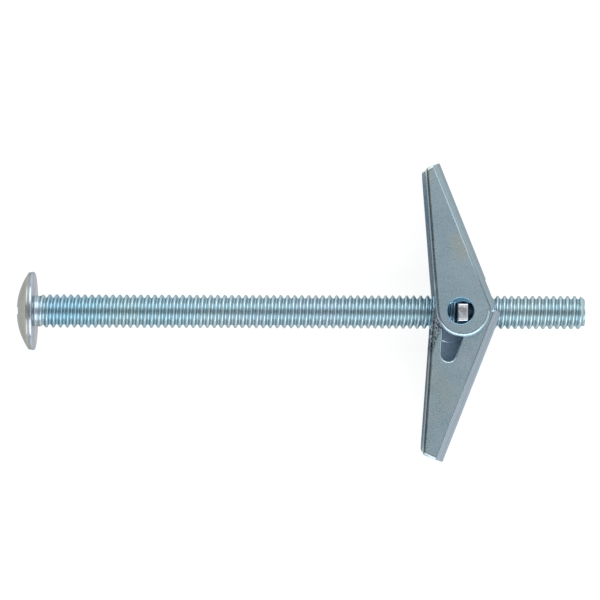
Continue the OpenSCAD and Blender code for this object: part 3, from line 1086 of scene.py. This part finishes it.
def floor_material():
    """White sweep that shows as white and keeps a soft shadow"""
    material = bpy.data.materials.new("floor_white")
    material.use_nodes = True
    tree = material.node_tree
    tree.nodes.clear()
    lighting, seen = (tree.nodes.new("ShaderNodeBsdfDiffuse") for _ in range(2))
    fill(tree, lighting, Color=(FLOOR_GREY, FLOOR_GREY, FLOOR_GREY))
    fill(tree, seen, Color=(SEEN_GREY, SEEN_GREY, SEEN_GREY))
    glow = tree.nodes.new("ShaderNodeEmission")
    fill(tree, glow, Strength=FLOOR_GLOW)
    lit = tree.nodes.new("ShaderNodeAddShader")
    mix = tree.nodes.new("ShaderNodeMixShader")
    for node, *sources in ((lit, seen.outputs[0], glow.outputs[0]),
                           (mix, seen_ray(tree), lighting.outputs[0], lit.outputs[0])):
        for socket, source in zip(node.inputs, sources):
            feed(tree, socket, source)
    fill(tree, tree.nodes.new("ShaderNodeOutputMaterial"), Surface=mix.outputs[0])
    return material


def studio_world(scene):
    """Soft room, darker on the head's side and brighter past the tip, white at the horizon"""
    world = bpy.data.worlds.new("studio")
    scene.world = world
    world.use_nodes = True
    tree = world.node_tree
    tree.nodes.clear()
    x, _, z = axes(tree, tree.nodes.new("ShaderNodeTexCoord").outputs["Generated"])
    ramp = tree.nodes.new("ShaderNodeValToRGB")
    stops = ramp.color_ramp.elements
    stops[0].position, stops[1].position = ROOM[0][0], ROOM[-1][0]
    for place, _ in ROOM[1:-1]:
        stops.new(place)
    for stop, (_, colour) in zip(stops, ROOM):
        stop.color = (*colour, 1.0)
    fill(tree, ramp, Fac=remap(tree, x, -1.0, 1.0))
    horizon = times(tree, seen_ray(tree), remap(tree, z, 0.04, 0.12, 1.0, 0.0))
    background = tree.nodes.new("ShaderNodeBackground")
    fill(tree, background, Color=mix_colour(tree, horizon, ramp.outputs[0], (1.0, 1.0, 1.0)))
    fill(tree, tree.nodes.new("ShaderNodeOutputWorld"), Surface=background.outputs[0])


def side_lamp(name, side, power):
    """A wide soft lamp beside the screw, aimed at its middle"""
    data = bpy.data.lights.new(name, "AREA")
    data.shape = "RECTANGLE"
    data.size, data.size_y = LAMP_SIZE
    data.energy = power
    obj = new_object(name, data)
    obj.location = (MIDDLE[0], side * LAMP_SIDE, LAMP_HEIGHT)
    obj.rotation_euler = (Vector(MIDDLE) - obj.location).to_track_quat("-Z", "Y").to_euler()


def stage_floor():
    """A wide plane that the object lies on"""
    bm = bmesh.new()
    bmesh.ops.create_grid(bm, x_segments=1, y_segments=1, size=FLOOR_HALF)
    bmesh.ops.translate(bm, verts=bm.verts, vec=(MIDDLE[0], 0, cad_box[0][2] - FLOOR_GAP))
    mesh_object("floor", bm, floor_material())


def stage_camera(s):
    """Camera straight over the screw, a little off its middle"""
    data = bpy.data.cameras.new("camera")
    data.sensor_width = 36.0
    data.lens = data.sensor_width * s.camera_height / s.view_width
    data.clip_start, data.clip_end = 0.01, 10.0
    obj = new_object("camera", data)
    obj.location = (*CAMERA_PLACE, s.camera_height)
    obj.rotation_euler = (0.0, 0.0, math.radians(CAMERA_TURN))
    bpy.context.scene.camera = obj


# ---- operators


class TOGGLE_OT_screw(bpy.types.Operator):
    """Build the truss head screw with its rolled thread"""

    bl_idname = "toggle.build_screw"
    bl_label = "Build Screw"

    def execute(self, context):
        sizes, finish = context.scene.toggle_screw, context.scene.toggle_plating
        screw_head(sizes, head_plating(tuple(finish.head_colour), sizes.crown_radius,
                                       sizes.head_height))
        screw_thread(sizes, thread_plating(tuple(finish.thread_colour)))
        return {"FINISHED"}


class TOGGLE_OT_nut(bpy.types.Operator):
    """Build the stamped trunnion nut"""

    bl_idname = "toggle.build_nut"
    bl_label = "Build Nut"

    def execute(self, context):
        pressed_nut(context.scene.toggle_pressed,
                    nut_plating(tuple(context.scene.toggle_plating.nut_colour)))
        return {"FINISHED"}


class TOGGLE_OT_wings(bpy.types.Operator):
    """Build the two folded sheet wings"""

    bl_idname = "toggle.build_wings"
    bl_label = "Build Wings"

    def execute(self, context):
        colour = tuple(context.scene.toggle_plating.wing_colour)
        for name, wing in WINGS.items():
            pressed_wing(name, context.scene.toggle_pressed, wing_plating(name, colour, wing))
        return {"FINISHED"}


class TOGGLE_OT_spring(bpy.types.Operator):
    """Build the wire spring that pushes the wings open"""

    bl_idname = "toggle.build_spring"
    bl_label = "Build Spring"

    def execute(self, context):
        torsion_spring(context.scene.toggle_spring,
                       wire_plating(tuple(context.scene.toggle_plating.wire_colour)))
        return {"FINISHED"}


class TOGGLE_OT_stage(bpy.types.Operator):
    """Set the floor, the lamps, the room and the camera"""

    bl_idname = "toggle.build_stage"
    bl_label = "Build Stage"

    def execute(self, context):
        scene, s = context.scene, context.scene.toggle_stage
        scene.view_settings.view_transform = "Standard"
        studio_world(scene)
        stage_floor()
        side_lamp("side_lamp_low", -1, s.lamp_power)
        side_lamp("side_lamp_high", 1, s.lamp_power)
        stage_camera(s)
        return {"FINISHED"}


class TOGGLE_PT_panel(bpy.types.Panel):
    """Sizes and steps of the toggle bolt"""

    bl_idname = "TOGGLE_PT_panel"
    bl_label = "Toggle Bolt"
    bl_space_type = "VIEW_3D"
    bl_region_type = "UI"
    bl_category = "Toggle Bolt"

    def draw(self, context):
        for label, name, group, *operators in PANEL_ROWS:
            box = self.layout.box()
            box.label(text=label)
            for key in group.__annotations__:
                box.prop(getattr(context.scene, name), key)
            for operator in operators:
                box.operator(operator.bl_idname)


PANEL_ROWS = (
    ("Screw", "toggle_screw", ScrewSettings, TOGGLE_OT_screw),
    ("Nut and wings", "toggle_pressed", PressedSettings, TOGGLE_OT_nut, TOGGLE_OT_wings),
    ("Spring", "toggle_spring", SpringSettings, TOGGLE_OT_spring),
    ("Plating", "toggle_plating", PlatingSettings),
    ("Stage", "toggle_stage", StageSettings, TOGGLE_OT_stage),
)
CLASSES = (*(cls for row in PANEL_ROWS for cls in row[2:]), TOGGLE_PT_panel)


def register():
    for cls in CLASSES:
        bpy.utils.register_class(cls)
    for _, name, group, *_ in PANEL_ROWS:
        setattr(bpy.types.Scene, name, bpy.props.PointerProperty(type=group))


def unregister():
    for _, name, *_ in PANEL_ROWS:
        delattr(bpy.types.Scene, name)
    for cls in reversed(CLASSES):
        bpy.utils.unregister_class(cls)


def main():
    register()
    bpy.ops.toggle.build_stage()
    bpy.ops.toggle.build_screw()
    bpy.ops.toggle.build_nut()
    bpy.ops.toggle.build_wings()
    bpy.ops.toggle.build_spring()


if __name__ == "__main__":
    main()
